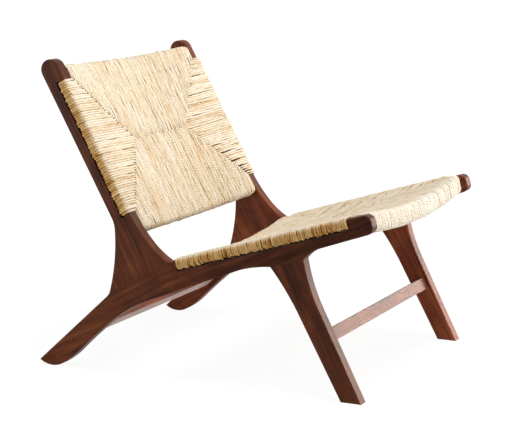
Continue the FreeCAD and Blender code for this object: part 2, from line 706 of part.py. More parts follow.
# Beech dowels inside the two glued joints of each side frame
def make_dowels(label, corner_of, middle, spread, angle):
    pins = []
    for side_name, side in SIDES:
        for number, sign in enumerate(("-", "+")):
            peg = doc.addObject("Part::Cylinder", f"{label}_{side_name}_{number}")
            peg.setExpression("Radius", "Sizes.dowel_diameter / 2")
            peg.setExpression("Height", "Sizes.dowel_length")
            turn(peg, angle)
            y, z = corner_of(f"{middle} {sign} {spread}")
            move(peg, f"{side} * Places.frame_middle", shift_places(y), shift_places(z))
            pins.append(peg)
    group = doc.addObject("Part::Compound", label)
    group.Label = label
    group.Links = pins
    return group


# Wound cord of the back or the seat: rolls round both rails, the web between and the side wraps
def make_woven(label, panel):
    body = new_body(label)
    rounded = ("low_face_top", "high_top", "high_face_under", "low_under")
    words = (
        "low_face_top", "low_top", "high_top", "high_face_top", "high_face_under", "high_under",
        "high_inner", "web_high", "web_low", "low_inner", "low_under", "low_face_under")
    section = add_sketch(body, f"{label}_section", "YZ_Plane")
    section.setExpression(".AttachmentOffset.Base.y", "Places.dish_axis")
    draw_outline(section, [
        (f"{panel}_{word}", "Sizes.roll_round", "left") if word in rounded else (f"{panel}_{word}",)
        for word in words])
    web = body.newObject("PartDesign::Revolution", f"{label}_web")
    web.Profile = section
    web.ReferenceAxis = (section, ["H_Axis"])
    web.Midplane = True
    web.setExpression("Angle", "Places.dish_sweep")
    doc.recompute()
    length = (f"Places.{panel}_high_end - Places.{panel}_low_start "
              "+ 2 * (Places.wound + Sizes.overrun)")
    height = f"Places.{panel}_low_height + 2 * Sizes.plank_thickness"
    for number, root in enumerate(("Places.panel_half", "-Places.panel_half - Sizes.plank_thickness")):
        add_box(body, "PartDesign::SubtractiveBox", f"{label}_trim_{number}",
                ("Sizes.plank_thickness", length, height),
                (root, f"Places.{panel}_low_start - Places.wound - Sizes.overrun",
                 f"-Places.{panel}_low_height - Sizes.plank_thickness"))
    doc.recompute()
    for part in ("low", "high"):
        start, end, height = (f"Places.{panel}_{part}_{word}" for word in ("start", "end", "height"))
        band = add_sketch(body, f"{label}_{part}_rail_space", "XZ_Plane", f"-({start} + {end}) / 2")
        height_value = place(f"{panel}_{part}_height")
        draw_dished_band(
            band, ("Places.inner_half", place("inner_half")),
            ("Sizes.wrap_fit", SIZES["wrap_fit"]),
            (f"-{height} - Sizes.wrap_fit", -height_value - SIZES["wrap_fit"]))
        cut_through(body, f"{label}_{part}_rail_hollow", band, f"{end} - {start} + 2 * Sizes.wrap_fit")
    start, end = f"Places.{panel}_wrap_start", f"Places.{panel}_wrap_end"
    ring = draw_outline(
        add_sketch(body, f"{label}_wrap_outline", "XZ_Plane", f"-({start} + {end}) / 2"), (
            ("wrap_root_top",),
            ("wrap_top", "Sizes.wrap_round", "left"),
            ("wrap_side_top",),
            ("wrap_side_under", "Sizes.wrap_round", "left"),
            ("wrap_under",),
            ("wrap_root_under",),
        ))
    wrap = pad(body, f"{label}_wrap", ring, f"{end} - {start}")
    twin = body.newObject("PartDesign::Mirrored", f"{label}_wrap_twin")
    twin.Originals = [wrap]
    twin.MirrorPlane = (origin_plane(body, "YZ_Plane"), [""])
    body.Tip = twin
    doc.recompute()
    size = ("Sizes.plank_thickness + 2 * Sizes.wrap_fit", f"{end} - {start} + 2 * Sizes.overrun",
            "Sizes.core_width + 2 * Sizes.wrap_fit")
    for number, root in enumerate((
            "Places.panel_half",
            "-Places.panel_half - Sizes.plank_thickness - 2 * Sizes.wrap_fit")):
        add_box(body, "PartDesign::SubtractiveBox", f"{label}_core_hollow_{number}", size,
                (root, f"{start} - Sizes.overrun", "-Sizes.core_width - Sizes.wrap_fit"))
    lay_on_panel(body, panel)
    return body


nodes = []
for side_name, side in SIDES:
    nodes.append(make_post(side_name, side))
    nodes.append(make_rail_leg(side_name, side))
    nodes.append(make_front_leg(side_name, side))
nodes.append(make_panel_rail("back_bottom_rail", "back", "low"))
nodes.append(make_panel_rail("back_top_rail", "back", "high"))
nodes.append(make_panel_rail("seat_front_rail", "seat", "low"))
nodes.append(make_panel_rail("seat_rear_rail", "seat", "high"))
nodes.append(make_stretcher(
    "front_stretcher", "Sizes.stretcher_thickness", "Sizes.front_stretcher_height",
    ("Sizes.front_stretcher_recess", "Sizes.front_stretcher_rise"),
    ("Places.toe_y", "Places.toe_z"), "-Sizes.leg_front_rake"))
nodes.append(make_stretcher(
    "rear_stretcher", "Sizes.rear_stretcher_height", "Sizes.stretcher_thickness",
    ("Sizes.rear_stretcher_reach", "-Sizes.rear_stretcher_depth - Sizes.stretcher_thickness"),
    ("Places.shoulder_y", "Places.shoulder_z"), "-Places.rear_leg_slope"))
nodes.append(make_dowels(
    "post_dowels", lambda across: on_post(across, "-Sizes.dowel_length / 2"),
    POST_MIDDLE, "Sizes.post_dowel_spread", POST_TURN))
nodes.append(make_dowels(
    "leg_dowels", lambda along: on_rail(along, "Sizes.pad_depth + Sizes.dowel_length / 2"),
    PAD_MIDDLE, "Sizes.leg_dowel_spread", RAIL_TURN))
nodes.append(make_woven("woven_back", "back"))
nodes.append(make_woven("woven_seat", "seat"))
doc.recompute()

for thing in doc.Objects:
    if "Invalid" in thing.State or "Error" in thing.State:
        raise RuntimeError(f"{thing.Label} does not build")
for node in nodes:
    if node.Shape.isNull() or not node.Shape.isValid() or not node.Shape.Volume > 0:
        raise RuntimeError(f"{node.Label} is not a sound solid")
    print(node.Label, len(node.Shape.Solids), round(node.Shape.Volume), node.Shape.BoundBox)

os.makedirs("parts", exist_ok=True)
for node in nodes:
    node.Shape.exportStep(f"parts/{node.Label}.step")
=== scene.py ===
import bpy
import math
import random
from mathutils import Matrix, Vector, noise


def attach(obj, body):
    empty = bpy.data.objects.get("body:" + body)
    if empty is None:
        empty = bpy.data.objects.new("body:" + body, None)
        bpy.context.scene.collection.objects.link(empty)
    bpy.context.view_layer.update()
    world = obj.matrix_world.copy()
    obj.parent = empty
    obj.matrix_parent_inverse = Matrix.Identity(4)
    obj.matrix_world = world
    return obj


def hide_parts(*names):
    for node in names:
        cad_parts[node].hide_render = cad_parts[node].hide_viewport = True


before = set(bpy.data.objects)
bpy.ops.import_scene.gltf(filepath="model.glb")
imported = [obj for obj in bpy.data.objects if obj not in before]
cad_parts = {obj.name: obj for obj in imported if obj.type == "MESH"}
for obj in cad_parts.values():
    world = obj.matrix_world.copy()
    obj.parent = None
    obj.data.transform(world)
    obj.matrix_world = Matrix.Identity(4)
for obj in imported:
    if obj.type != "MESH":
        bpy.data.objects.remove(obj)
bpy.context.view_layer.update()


# Side frames: each is a back post, a seat rail that sweeps down into the rear leg, and a
# front leg. They are sawn from 30 mm hardwood planks, glued on dowels, bevelled along the
# edges, stained dark brown and oiled to a satin.
def linear(code):
    """Linear colour of an sRGB hex code."""
    channels = [int(code[i:i + 2], 16) / 255 for i in (1, 3, 5)]
    return [c / 12.92 if c <= 0.04045 else ((c + 0.055) / 1.055) ** 2.4 for c in channels] + [1.0]


def add_node(material, kind, settings=None, inputs=None):
    """One node with its settings, and its sockets set to values or linked to other sockets."""
    node = material.node_tree.nodes.new(kind)
    for name, value in (settings or {}).items():
        setattr(node, name, value)
    for name, value in (inputs or {}).items():
        if isinstance(value, bpy.types.NodeSocket):
            material.node_tree.links.new(value, node.inputs[name])
        else:
            node.inputs[name].default_value = value
    return node


def new_material(name):
    """Empty node material."""
    material = bpy.data.materials.new(name)
    material.use_nodes = True
    material.node_tree.nodes.clear()
    return material


def set_ramp(node, stops):
    """Colour stops of a ramp, as positions and hex codes."""
    ramp = node.color_ramp
    while len(ramp.elements) < len(stops):
        ramp.elements.new(0.5)
    for element, (position, code) in zip(ramp.elements, stops):
        element.position = position
        element.color = linear(code)


def make_wood(name, turn, shades, roughness, shine, haze, shade_span=None):
    """Planed wood whose grain runs along Z after the object is turned by the three angles.

    Where two places along the grain are given, the wood is painted darker from one to the other:
    painted shade."""
    wood = new_material(name)
    place = add_node(wood, "ShaderNodeTexCoord")
    board = add_node(wood, "ShaderNodeMapping", inputs={
        "Vector": place.outputs["Object"], "Rotation": [math.radians(angle) for angle in turn]})
    # Growth rings cut through lengthwise: bands 15 to 20 mm wide that wander over 250 mm
    figure = add_node(wood, "ShaderNodeMapping", inputs={
        "Vector": board.outputs["Vector"], "Scale": (48.0, 70.0, 4.0)})
    rings = add_node(wood, "ShaderNodeTexNoise", inputs={
        "Vector": figure.outputs["Vector"], "Scale": 1.0, "Detail": 3.0, "Roughness": 0.55,
        "Distortion": 0.9})
    # Fibres 1.6 mm wide and 100 mm long, coarser than real ones so that they show
    strands = add_node(wood, "ShaderNodeMapping", inputs={
        "Vector": board.outputs["Vector"], "Scale": (610.0, 700.0, 10.0)})
    fibres = add_node(wood, "ShaderNodeTexNoise", inputs={
        "Vector": strands.outputs["Vector"], "Scale": 1.0, "Detail": 3.0, "Roughness": 0.65})
    # Stain takes unevenly over patches about 60 mm across
    patches = add_node(wood, "ShaderNodeTexNoise", inputs={
        "Vector": board.outputs["Vector"], "Scale": 16.0, "Detail": 2.0})
    # Rings show most, and fibres and patches about half as much
    mixed = add_node(wood, "ShaderNodeMath", {"operation": "MULTIPLY_ADD"}, {
        0: fibres.outputs["Fac"], 1: 0.55, 2: rings.outputs["Fac"]})
    spread = add_node(wood, "ShaderNodeMath", {"operation": "MULTIPLY_ADD"}, {
        0: patches.outputs["Fac"], 1: 0.45, 2: mixed.outputs["Value"]})
    tone = spread.outputs["Value"]
    # Painted shade: the tone drops by up to 0.10 between the two places along the grain
    if shade_span:
        length = add_node(wood, "ShaderNodeSeparateXYZ", inputs={"Vector": board.outputs["Vector"]})
        painted_falloff = add_node(wood, "ShaderNodeMapRange", {"interpolation_type": "SMOOTHSTEP"}, {
            "Value": length.outputs["Z"], "From Min": shade_span[0], "From Max": shade_span[1], "To Max": 0.10})
        painted_shade = add_node(wood, "ShaderNodeMath", {"operation": "SUBTRACT"}, {
            0: tone, 1: painted_falloff.outputs["Result"]})
        tone = painted_shade.outputs["Value"]
    shade = add_node(wood, "ShaderNodeMapRange", inputs={
        "Value": tone, "From Min": 0.73, "From Max": 1.27})
    colour = add_node(wood, "ShaderNodeValToRGB", inputs={"Fac": shade.outputs["Result"]})
    set_ramp(colour, shades)
    # Pale fibres stand up a little and are duller than the dark pores between them
    gloss = add_node(wood, "ShaderNodeMapRange", inputs={
        "Value": fibres.outputs["Fac"], "To Min": roughness - 0.06, "To Max": roughness + 0.08})
    relief = add_node(wood, "ShaderNodeBump", inputs={
        "Height": fibres.outputs["Fac"], "Strength": 0.25, "Distance": 0.0004})
    surface = add_node(wood, "ShaderNodeBsdfPrincipled", inputs={
        "Base Color": colour.outputs["Color"], "Roughness": gloss.outputs["Result"],
        "Normal": relief.outputs["Normal"], "Specular IOR Level": shine, "Sheen Weight": haze,
        "Sheen Roughness": 0.4})
    add_node(wood, "ShaderNodeOutputMaterial", inputs={"Surface": surface.outputs["BSDF"]})
    return wood


def shade_box(wood, middle, slope, half_size):
    """Paint shade on a wood, almost black, inside a box that slopes by some degrees about X."""
    place = add_node(wood, "ShaderNodeTexCoord")
    box = add_node(wood, "ShaderNodeMapping", {"vector_type": "TEXTURE"}, {
        "Vector": place.outputs["Object"], "Location": middle,
        "Rotation": (math.radians(slope), 0, 0), "Scale": half_size})
    folded = add_node(wood, "ShaderNodeVectorMath", {"operation": "ABSOLUTE"}, {
        0: box.outputs["Vector"]})
    sides = add_node(wood, "ShaderNodeSeparateXYZ", inputs={"Vector": folded.outputs["Vector"]})
    wider = add_node(wood, "ShaderNodeMath", {"operation": "MAXIMUM"}, {
        0: sides.outputs["X"], 1: sides.outputs["Y"]})
    widest = add_node(wood, "ShaderNodeMath", {"operation": "MAXIMUM"}, {
        0: wider.outputs["Value"], 1: sides.outputs["Z"]})
    inside = add_node(wood, "ShaderNodeMath", {"operation": "LESS_THAN"}, {
        0: widest.outputs["Value"], 1: 1.0})
    surface = next(node for node in wood.node_tree.nodes if node.type == "BSDF_PRINCIPLED")
    slot_shade = add_node(wood, "ShaderNodeMix", {"data_type": "RGBA"}, {
        "Factor": inside.outputs["Value"]})
    unshaded, dark, result = slot_shade.inputs[6], slot_shade.inputs[7], slot_shade.outputs[2]
    wood.node_tree.links.new(surface.inputs["Base Color"].links[0].from_socket, unshaded)
    # Painted shade: colour of the slot's walls
    dark.default_value = linear("#150A05")
    wood.node_tree.links.new(result, surface.inputs["Base Color"])


def finish_nodes(material, *names):
    """Give CAD nodes their finished material."""
    for name in names:
        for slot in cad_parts[name].material_slots:
            slot.material = material


# Walnut-brown stain on a close-grained tropical hardwood: dark brown in the pores, reddish where the
# stain is thin. The left frame's post and rail are a little warmer, and its front leg and the rear
# stretcher redder and lighter.
STAIN = ((0.0, "#3C1A0C"), (0.3, "#532712"), (0.65, "#6B3619"), (1.0, "#824723"))
WARM_STAIN = ((0.0, "#441D0F"), (0.3, "#622D16"), (0.65, "#7E3E20"), (1.0, "#96522B"))
RED_STAIN = ((0.0, "#5A2713"), (0.3, "#7C3B1F"), (0.65, "#9A5030"), (1.0, "#B56C44"))
SATIN = 0.42

# Turn about X, in degrees, that stands each board's grain upright, and the places along the upright
# board in metres between which the wood is painted darker toward the chair's top and front, as
# painted shade
POST_LEAN = 29.0
POST_SHADE_SPAN = (0.27, 0.5)
RAIL_SLOPE = -64.3
RAIL_SHADE_SPAN = (-0.12, 0.3)
LEG_RAKE = 27.7
LEG_SHADE_SPAN = (-0.2, 0.05)

# The planks, and the long slot that leaves a slim core along the seat. The seat's face line
# starts in the crease and rises toward the front, so places on the seat are negative.
PLANK = 0.030
PLANK_MIDDLE = 0.31
CORE = 0.016
SLOT_HEIGHT = 0.0085
SEAT_SLOT = (-0.4465, -0.021)
SEAT_RISE = 16.9
SEAT_START = Vector((0, 0.072969, 0.271044))
rise = math.radians(SEAT_RISE)
SEAT_ALONG = Vector((0, math.cos(rise), -math.sin(rise)))
SEAT_OUT = Vector((0, math.sin(rise), math.cos(rise)))

# The slot's walls are painted almost black: painted shade. The dark box goes a hair past the walls
# and stops a hair inside the plank's faces.
slot_middle = SEAT_START + SEAT_ALONG * (sum(SEAT_SLOT) / 2) - SEAT_OUT * (CORE + SLOT_HEIGHT / 2)
slot_half_size = (PLANK / 2 - 0.0001, (SEAT_SLOT[1] - SEAT_SLOT[0]) / 2 + 0.00075,
                  SLOT_HEIGHT / 2 + 0.00015)

for side, x, stain, leg_stain, leg_haze in (("right", -PLANK_MIDDLE, STAIN, STAIN, 0.2),
                                            ("left", PLANK_MIDDLE, WARM_STAIN, RED_STAIN, 0.34)):
    post = make_wood(f"stained_hardwood_post_{side}", (POST_LEAN, 0, 0), stain, SATIN,
                     shine=0.12, haze=0.18, shade_span=POST_SHADE_SPAN)
    finish_nodes(post, f"back_post_{side}")
    rail = make_wood(f"stained_hardwood_rail_{side}", (RAIL_SLOPE, 0, 0), stain, SATIN,
                     shine=0.12, haze=0.18, shade_span=RAIL_SHADE_SPAN)
    shade_box(rail, slot_middle + Vector((x, 0, 0)), -SEAT_RISE, slot_half_size)
    finish_nodes(rail, f"seat_rail_rear_leg_{side}")
    leg = make_wood(f"stained_hardwood_leg_{side}", (LEG_RAKE, 0, 0), leg_stain, SATIN,
                    shine=0.16, haze=leg_haze, shade_span=LEG_SHADE_SPAN)
    finish_nodes(leg, f"front_leg_{side}")

# Dowels: beech pegs glued into the joints of the side frames, out of sight once these are
# closed. Plain pale wood, turned smooth.
BEECH = ((0.0, "#B08A5E"), (0.35, "#C0996A"), (0.7, "#CFAE80"), (1.0, "#DDC096"))
turned_beech = make_wood("turned_beech", (0, 0, 0), BEECH, 0.55, shine=0.4, haze=0.0)
finish_nodes(turned_beech, "post_dowels", "leg_dowels")

# Stretchers: flat bars tenoned between the front legs and between the rear legs, of the same
# stained hardwood, with the grain across the chair.
ACROSS = (0, 90, 0)
front_bar = make_wood("stained_hardwood_front_bar", ACROSS, WARM_STAIN, SATIN,
                      shine=0.28, haze=0.55)
finish_nodes(front_bar, "front_stretcher")
rear_bar = make_wood("stained_hardwood_rear_bar", ACROSS, RED_STAIN, SATIN,
                     shine=0.2, haze=0.8)
finish_nodes(rear_bar, "rear_stretcher")

# Dished rails of the back and the seat: planed hardwood left unstained, bevelled along the
# edges, and hidden under the cord that is wound over them.
PLAIN = ((0.0, "#6E4A2E"), (0.35, "#7F5939"), (0.7, "#936B46"), (1.0, "#A57C54"))
planed = make_wood("planed_hardwood", ACROSS, PLAIN, 0.6, shine=0.3, haze=0.0)
finish_nodes(planed, "back_bottom_rail", "back_top_rail", "seat_front_rail", "seat_rear_rail")


# Woven back: one long cord of twisted dry leaf, wound over the two rails and over the slim
# cores beside the slots. Each turn dives into the panel where it meets the turns of the
# other direction, which draws four mitre lines and a seam across the middle, on both faces.
def make_cord_material(name, shades, sheen):
    """Dry leaf cord: pale, matt, fibrous and unevenly coloured, with a loose twist.

    It follows the cord's unrolled surface: metres along it, and the share of the way round."""
    cord = new_material(name)
    lay = add_node(cord, "ShaderNodeUVMap", {"uv_map": "lay"})
    tone = add_node(cord, "ShaderNodeAttribute", {"attribute_name": "tone"})
    gold_and_shade = add_node(cord, "ShaderNodeAttribute", {"attribute_name": "gold_and_shade"})
    split = add_node(cord, "ShaderNodeSeparateXYZ", inputs={"Vector": lay.outputs["UV"]})
    # A leaf lies on top for about 30 mm before the next one takes over
    leaf = add_node(cord, "ShaderNodeVectorMath", {"operation": "MULTIPLY"}, {
        0: lay.outputs["UV"], 1: (34.0, 1.6, 0.0)})
    leaves = add_node(cord, "ShaderNodeTexNoise", inputs={
        "Vector": leaf.outputs["Vector"], "Scale": 1.0, "Detail": 3.0, "Roughness": 0.65})
    # Twist: one turn in 14 mm, drawn over two plies
    turns = add_node(cord, "ShaderNodeMath", {"operation": "MULTIPLY_ADD"}, {
        0: split.outputs["X"], 1: 1 / 0.014, 2: split.outputs["Y"]})
    angle = add_node(cord, "ShaderNodeMath", {"operation": "MULTIPLY"}, {
        0: turns.outputs["Value"], 1: 4 * math.pi})
    plies = add_node(cord, "ShaderNodeMath", {"operation": "SINE"}, {0: angle.outputs["Value"]})
    # Bundles of fibres about 2 mm wide that follow the twist, with finer ones down to 0.5 mm
    fine = add_node(cord, "ShaderNodeMath", {"operation": "MULTIPLY"}, {
        0: turns.outputs["Value"], 1: 9.0})
    slow = add_node(cord, "ShaderNodeMath", {"operation": "MULTIPLY"}, {
        0: split.outputs["X"], 1: 120.0})
    thread = add_node(cord, "ShaderNodeCombineXYZ", inputs={
        "X": fine.outputs["Value"], "Y": slow.outputs["Value"]})
    fibres = add_node(cord, "ShaderNodeTexNoise", inputs={
        "Vector": thread.outputs["Vector"], "Scale": 1.0, "Detail": 2.0, "Roughness": 0.6})
    # Flecks and nubs of torn leaf, about 8 mm long
    speck = add_node(cord, "ShaderNodeVectorMath", {"operation": "MULTIPLY"}, {
        0: lay.outputs["UV"], 1: (120.0, 2.6, 0.0)})
    specks = add_node(cord, "ShaderNodeTexNoise", inputs={
        "Vector": speck.outputs["Vector"], "Scale": 1.0, "Detail": 1.0})
    # The strand's own tone leads, and leaves, fibres and flecks vary it
    mixed = add_node(cord, "ShaderNodeMath", {"operation": "MULTIPLY_ADD"}, {
        0: leaves.outputs["Fac"], 1: 0.40, 2: tone.outputs["Fac"]})
    fuller = add_node(cord, "ShaderNodeMath", {"operation": "MULTIPLY_ADD"}, {
        0: fibres.outputs["Fac"], 1: 0.32, 2: mixed.outputs["Value"]})
    fullest = add_node(cord, "ShaderNodeMath", {"operation": "MULTIPLY_ADD"}, {
        0: specks.outputs["Fac"], 1: 0.56, 2: fuller.outputs["Value"]})
    # The flanks of a strand, pressed against its neighbours, are painted browner: painted shade in
    # the creases between strands
    flank = add_node(cord, "ShaderNodeMath", {"operation": "SUBTRACT"}, {
        0: split.outputs["Y"], 1: 0.5})
    off_top = add_node(cord, "ShaderNodeMath", {"operation": "ABSOLUTE"}, {
        0: flank.outputs["Value"]})
    painted_crease_shade = add_node(cord, "ShaderNodeMapRange", inputs={
        "Value": off_top.outputs["Value"], "From Min": 0.11, "From Max": 0.24, "To Min": 0.0,
        "To Max": 0.20})
    crease_shaded = add_node(cord, "ShaderNodeMath", {"operation": "SUBTRACT"}, {
        0: fullest.outputs["Value"], 1: painted_crease_shade.outputs["Result"]})
    shade = add_node(cord, "ShaderNodeMapRange", inputs={
        "Value": crease_shaded.outputs["Value"], "From Min": 0.64, "From Max": 1.62})
    colour = add_node(cord, "ShaderNodeValToRGB", inputs={"Fac": shade.outputs["Result"]})
    set_ramp(colour, shades)
    # Yellower patches of leaf are tinted golden, and so are the painted shade on the planks' outer
    # sides and in the slot
    golden = add_node(cord, "ShaderNodeMix", {"data_type": "RGBA", "blend_type": "MULTIPLY"}, {
        "Factor": gold_and_shade.outputs["Fac"]})
    fresh, gold, result = golden.inputs[6], golden.inputs[7], golden.outputs[2]
    cord.node_tree.links.new(colour.outputs["Color"], fresh)
    gold.default_value = linear("#FFDFA6")
    # Plies, fibres and nubs give a relief of about a millimetre
    height = add_node(cord, "ShaderNodeMath", {"operation": "MULTIPLY_ADD"}, {
        0: plies.outputs["Value"], 1: 0.34, 2: fibres.outputs["Fac"]})
    lumps = add_node(cord, "ShaderNodeMath", {"operation": "MULTIPLY_ADD"}, {
        0: specks.outputs["Fac"], 1: 1.1, 2: height.outputs["Value"]})
    relief = add_node(cord, "ShaderNodeBump", inputs={
        "Height": lumps.outputs["Value"], "Strength": 0.9, "Distance": 0.0011})
    surface = add_node(cord, "ShaderNodeBsdfPrincipled", inputs={
        "Base Color": result, "Roughness": 0.85, "Specular IOR Level": 0.15,
        "Sheen Weight": sheen, "Sheen Roughness": 0.6, "Normal": relief.outputs["Normal"]})
    add_node(cord, "ShaderNodeOutputMaterial", inputs={"Surface": surface.outputs["BSDF"]})
    return cord


# Dried leaf is cream where it is fresh, and straw and tan where it is thick or handled. Between the
# two faces of a panel the cord is painted dark brown: painted shade.
LEAF = ((0.0, "#8F6230"), (0.16, "#BC9158"), (0.32, "#D7BE95"), (0.5, "#E3D3B9"), (0.68, "#EBDFCB"),
        (0.85, "#F2E9DB"), (1.0, "#F8F3E9"))
SHADE_LEAF = ((0.0, "#55371A"), (0.5, "#70491F"), (1.0, "#8A5E2C"))
leaf_cord = make_cord_material("twisted_leaf_cord", LEAF, sheen=0.04)
shaded_cord = make_cord_material("shaded_leaf_cord", SHADE_LEAF, sheen=0.0)

# The cord is pressed flat as it is wound. Its middle lies LIFT above what carries it, and
# its path has a point at least every STEP.
PITCH = 0.0059
CORD_HALF_WIDTH = 0.00306
CORD_HALF_THICKNESS = 0.00225
CORD_SIDES = 8
LIFT = 0.0026
STEP = 0.015

# The planks' inner and outer faces from the chair's middle, the middle of a panel's thickness
# and its dish, the stretch over which a panel's lower face comes in from its rail, and the
# bends of a turn over a rail and over a core
INNER = PLANK_MIDDLE - PLANK / 2
OUTER = PLANK_MIDDLE + PLANK / 2
MIDDLE = -CORE / 2
DISH = 0.020
TAPER = 0.034
RAIL_BEND = 0.0092
CORE_BEND = 0.0078

# A turn dives into the panel over the last DIVE of its way. Its points there are distances
# from its end, with the level on the upper face, and with the climb on the lower face.
DIVE = 0.0052
UPPER_DIVE = ((0.0006, -0.0022), (0.0022, 0.0013))
LOWER_DIVE = ((0.0022, 0.0018), (0.0006, 0.0053))


def clamp(value):
    """A value kept between 0 and 1."""
    return min(max(value, 0), 1)


def dish(x):
    """Level of the panel against its straight line, at a place across the chair."""
    return -DISH * (1 - min(abs(x) / INNER, 1) ** 2)


def bend(across, level, radius, start, stop):
    """Points of a quarter turn round a centre, in the plane of the strand's path."""
    points = []
    for share in (0, 1 / 3, 2 / 3, 1):
        angle = math.radians(start + (stop - start) * share)
        points.append((across + radius * math.cos(angle), level + radius * math.sin(angle)))
    return points


def run(start, stop, level):
    """Points along a straight stretch without its ends."""
    count = int(abs(stop - start) / STEP)
    places = [start + (stop - start) * (i + 1) / (count + 1) for i in range(count)]
    return [(place, level(place)) for place in places]


def rail_path(depth, width, height, slack):
    """Path of a turn over a rail, from its dive on one face to its dive on the other.

    It is measured outward from the rail's inner edge and up from its upper side."""
    def under(place):
        return -CORE - LIFT - (height - CORE) * clamp(1 + place / TAPER)

    far = width + LIFT + slack - RAIL_BEND
    face = DIVE - depth
    points = [(-depth, MIDDLE)]
    points += [(way - depth, level) for way, level in UPPER_DIVE]
    points += [(face, LIFT)]
    points += run(face, far, lambda place: LIFT)
    points += bend(far, LIFT - RAIL_BEND, RAIL_BEND, 90, 0)
    points += bend(far, RAIL_BEND - height - LIFT, RAIL_BEND, 0, -90)
    if depth > TAPER + 0.01:
        points += [(0.0, under(0)), (-TAPER, under(-TAPER))]
        points += run(-TAPER, face, under)
    else:
        # A short turn near the corner dives before the taper ends
        points += [(min(0.0, face) + 0.004, under(0))]
    points += [(face, under(face))]
    points += [(way - depth, under(face) + climb) for way, climb in LOWER_DIVE]
    return points + [(-depth, MIDDLE)]


# The slot's lower edge carries a turn on its way back into the panel: how much lower than
# against the core, and from how far inside the plank
SLOT_DROP = 0.0034
SLOT_REACH = 0.006


def core_path(end, slack, droop):
    """Path of a turn round the core of a side frame, as distances from the chair's middle.

    Slack stands it off the plank's outer side, and droop lets it hang lower there."""
    far = OUTER + LIFT + slack - CORE_BEND
    back = -CORE - LIFT
    face = end + DIVE
    points = [(end, MIDDLE + dish(end))]
    points += [(end + way, level + dish(end)) for way, level in UPPER_DIVE]
    points += [(face, LIFT + dish(end))]
    points += run(face, INNER, lambda place: LIFT + dish(place))
    points += [(INNER, LIFT)]
    points += bend(far, LIFT - CORE_BEND, CORE_BEND, 90, 0)
    points += bend(far, back - droop + CORE_BEND, CORE_BEND, 0, -90)
    points += [(INNER + SLOT_REACH, back - SLOT_DROP), (INNER, back - SLOT_DROP)]
    points += run(INNER, face, lambda place: back + dish(place))
    points += [(face, back + dish(end))]
    points += [(end + way, back + climb + dish(end)) for way, climb in LOWER_DIVE]
    return points + [(end, MIDDLE + dish(end))]


# A full wave in radians, the length of cord that is in a dive, and the length before it over
# which a strand is squeezed narrower
CYCLE = 6.28
DIVE_LENGTH = 0.006
SQUEEZE_LENGTH = 0.017


def wander(rng, size, length):
    """Slow drift along a strand, as a sum of three waves."""
    waves = [(rng.uniform(0.6, 1.4) * length, rng.uniform(0, CYCLE), rng.gauss(0, size))
             for _ in range(3)]
    return lambda place: sum(
        height * math.sin(CYCLE * place / wave + phase) for wave, phase, height in waves)


def add_strand(store, rng, path, to_panel, look, loose, squeeze):
    """Rings of one strand, laid along its path, with its look and its unrolled surface."""
    # It drifts sideways over 120 mm, trembles over 32 mm and rises and falls over 80 mm, all
    # the more where it is loose, and its thickness changes over 34 mm
    drift = wander(rng, 0.00008 + 0.00022 * loose, 0.12)
    quiver = wander(rng, 0.00012 + 0.00014 * loose, 0.032)
    thickness = rng.gauss(1.0 - 0.04 * loose, 0.035)
    swell = wander(rng, 0.045, 0.034)
    heave = wander(rng, 0.00014 + 0.00026 * loose, 0.08)
    pinch = max(0.0, rng.gauss(squeeze, 0.10))
    total = sum(math.dist(path[i], path[i - 1]) for i in range(1, len(path)))
    first = len(store["points"])
    offset = rng.uniform(0, 5)
    length = offset
    rings = []
    for i, (across, level) in enumerate(path):
        before, after = path[max(i - 1, 0)], path[min(i + 1, len(path) - 1)]
        step = Vector((after[0] - before[0], after[1] - before[1])).normalized()
        out = (-step.y, step.x)
        if i:
            length += math.dist(path[i], path[i - 1])
        size = thickness * (1 + swell(length))
        to_dive = max(min(length - offset, total - length + offset) - DIVE_LENGTH, 0)
        size *= 1 - pinch * math.exp(-(to_dive / SQUEEZE_LENGTH) ** 2)
        up = heave(length)
        side = drift(length) + quiver(length)
        tone, gold_and_shade = look(across, level)
        for j in range(CORD_SIDES):
            angle = 2 * math.pi * j / CORD_SIDES - math.pi / 2
            lift = up + CORD_HALF_THICKNESS * size * math.sin(angle)
            store["points"].append(to_panel(
                across + out[0] * lift, level + out[1] * lift,
                side + CORD_HALF_WIDTH * size * math.cos(angle)))
            store["tones"].append(tone)
            store["golds_and_shades"].append(gold_and_shade)
        rings.append(length)
    for i in range(len(path) - 1):
        for j in range(CORD_SIDES):
            here, there = first + i * CORD_SIDES, first + (i + 1) * CORD_SIDES
            follower = (j + 1) % CORD_SIDES
            store["faces"].append((here + j, here + follower, there + follower, there + j))
            low, high = j / CORD_SIDES, (j + 1) / CORD_SIDES
            store["lays"] += [(rings[i], low), (rings[i], high), (rings[i + 1], high),
                              (rings[i + 1], low)]
    for ring, length in ((0, rings[0]), (len(path) - 1, rings[-1])):
        store["faces"].append(tuple(first + ring * CORD_SIDES + j for j in range(CORD_SIDES)))
        store["lays"] += [(length, j / CORD_SIDES) for j in range(CORD_SIDES)]


